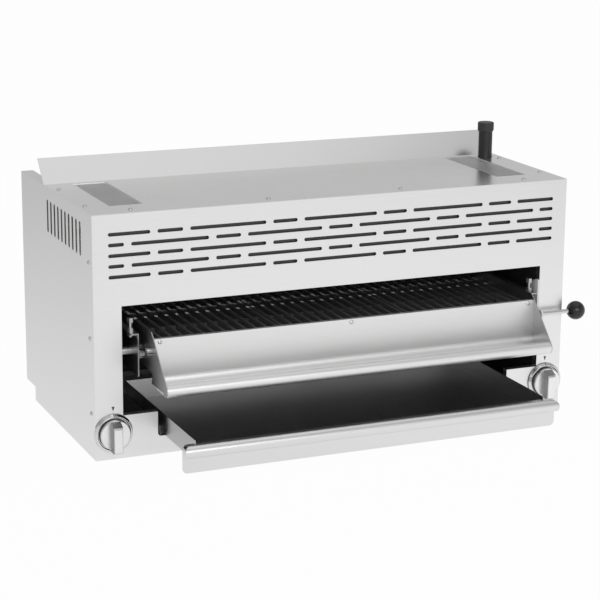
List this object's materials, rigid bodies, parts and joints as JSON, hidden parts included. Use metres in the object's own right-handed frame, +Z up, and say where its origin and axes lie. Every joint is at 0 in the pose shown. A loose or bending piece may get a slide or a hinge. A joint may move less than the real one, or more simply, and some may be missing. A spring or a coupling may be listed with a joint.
{
  "type": "cheese melter",
  "caption": "Countertop gas cheese melter in brushed stainless steel with a roll-out broiling rack raised by a side lever, a drip tray, two control knobs and a rear gas inlet.",
  "frame": {"origin": "centre of the case's footprint, on the surface it rests on", "axes": "+X to the right along the case's width, +Y to the back, +Z up; the openings and the knobs face -Y"},
  "size_m": [0.9555, 0.6158, 0.5],
  "materials": {
    "stainless_sheet": "brushed",
    "grey_sheet": "matte",
    "bare_steel": "satin",
    "cast_iron": "matte",
    "ceramic": "matte",
    "brass": "satin",
    "black_pipe": "painted",
    "chrome": "polished",
    "black_plastic": "glossy"
  },
  "bodies": {
    "case": {"left_side_panel": "stainless_sheet", "right_side_panel": "stainless_sheet", "front_panel": "stainless_sheet", "top_panel": "stainless_sheet", "vent_screen_left": "grey_sheet", "vent_screen_right": "grey_sheet", "slot_backing_plate": "grey_sheet", "back_panel": "grey_sheet", "bottom_panel": "grey_sheet", "left_liner": "grey_sheet", "right_liner": "grey_sheet", "rear_liner": "grey_sheet", "burner_deck": "grey_sheet", "burner_box_left": "grey_sheet", "burner_box_right": "grey_sheet", "burner_tiles": "ceramic", "venturi_tube_left": "grey_sheet", "venturi_tube_right": "grey_sheet", "gas_inlet_pipe": "black_pipe", "gas_inlet_elbow": "black_pipe", "gas_manifold": "black_pipe", "gas_valve_left": "brass", "gas_valve_right": "brass", "supply_tube_left": "bare_steel", "supply_tube_right": "bare_steel", "orifice_fittings": "brass", "tray_runner_left": "grey_sheet", "tray_runner_right": "grey_sheet", "rear_guide_left": "grey_sheet", "rear_guide_right": "grey_sheet", "shaft_bushes": "brass", "case_screws": "bare_steel"},
    "lift_lever": {"lift_shaft": "bare_steel", "lift_arm_left": "bare_steel", "lever_arm": "stainless_sheet", "lever_rod": "bare_steel", "lever_ball": "black_plastic"},
    "carriage": {"carriage_plate_left": "stainless_sheet", "carriage_plate_right": "stainless_sheet", "carriage_ties": "bare_steel", "guide_studs": "bare_steel", "lift_stop_bolts": "bare_steel"},
    "carriage_wheel_left": {"carriage_roller_left": "bare_steel"},
    "carriage_wheel_right": {"carriage_roller_right": "bare_steel"},
    "rack": {"rack_side_left": "stainless_sheet", "rack_side_right": "stainless_sheet", "rack_front": "stainless_sheet", "rack_front_screws": "bare_steel", "grate_supports": "grey_sheet", "grates": "cast_iron", "rack_stop_pins": "bare_steel"},
    "rack_wheel_left": {"rack_roller_left": "bare_steel"},
    "rack_wheel_right": {"rack_roller_right": "bare_steel"},
    "tray": {"drip_tray_pan": "stainless_sheet", "drip_tray_front": "stainless_sheet"},
    "left_control": {"knob_left": "chrome", "valve_stem_left": "brass"},
    "right_control": {"knob_right": "chrome", "valve_stem_right": "brass"},
    "pipe_cap": {"gas_inlet_cap": "black_plastic"}
  },
  "joints": [
    {"name": "rack_lift", "type": "slide", "parent": "case", "child": "carriage", "axis": [0, 0, 1], "range_m": [-0.05, 0.023]},
    {"name": "lever_turn", "type": "hinge", "parent": "case", "child": "lift_lever", "pos_m": [0, 0.205, 0.1705], "axis": [-1, 0, 0], "range_deg": [-7.5, 3.6]},
    {"name": "rack_slide", "type": "slide", "parent": "carriage", "child": "rack", "axis": [0, -1, 0], "range_m": [-0.04, 0.22]},
    {"name": "carriage_roller_left_spin", "type": "hinge", "parent": "carriage", "child": "carriage_wheel_left", "pos_m": [-0.3754, -0.225, 0.187], "axis": [1, 0, 0], "range_deg": [-332.4, 1805.7]},
    {"name": "carriage_roller_right_spin", "type": "hinge", "parent": "carriage", "child": "carriage_wheel_right", "pos_m": [0.3754, -0.225, 0.187], "axis": [1, 0, 0], "range_deg": [-332.4, 1805.7]},
    {"name": "rack_roller_left_spin", "type": "hinge", "parent": "rack", "child": "rack_wheel_left", "pos_m": [-0.3738, 0.058, 0.187], "axis": [1, 0, 0], "range_deg": [-241.3, 1304.5]},
    {"name": "rack_roller_right_spin", "type": "hinge", "parent": "rack", "child": "rack_wheel_right", "pos_m": [0.3738, 0.058, 0.187], "axis": [1, 0, 0], "range_deg": [-241.3, 1304.5]},
    {"name": "tray_slide", "type": "slide", "parent": "case", "child": "tray", "axis": [0, -1, 0], "range_m": [-0.15, 0.17]},
    {"name": "left_knob_turn", "type": "hinge", "parent": "case", "child": "left_control", "pos_m": [-0.425, -0.221, 0.0475], "axis": [0, -1, 0], "range_deg": [0, 90]},
    {"name": "right_knob_turn", "type": "hinge", "parent": "case", "child": "right_control", "pos_m": [0.425, -0.221, 0.0475], "axis": [0, -1, 0], "range_deg": [0, 90]},
    {"name": "pipe_cap_pull", "type": "slide", "parent": "case", "child": "pipe_cap", "axis": [0, 0, 1], "range_m": [0, 0.03]}
  ],
  "couplings": [
    {"joint": "lever_turn", "follows": "rack_lift", "rad_per_m": 2.5316},
    {"joint": "carriage_roller_left_spin", "follows": "rack_slide", "rad_per_m": 142.86},
    {"joint": "carriage_roller_right_spin", "follows": "rack_slide", "rad_per_m": 142.86},
    {"joint": "rack_roller_left_spin", "follows": "rack_slide", "rad_per_m": 103.09},
    {"joint": "rack_roller_right_spin", "follows": "rack_slide", "rad_per_m": 103.09}
  ]
}
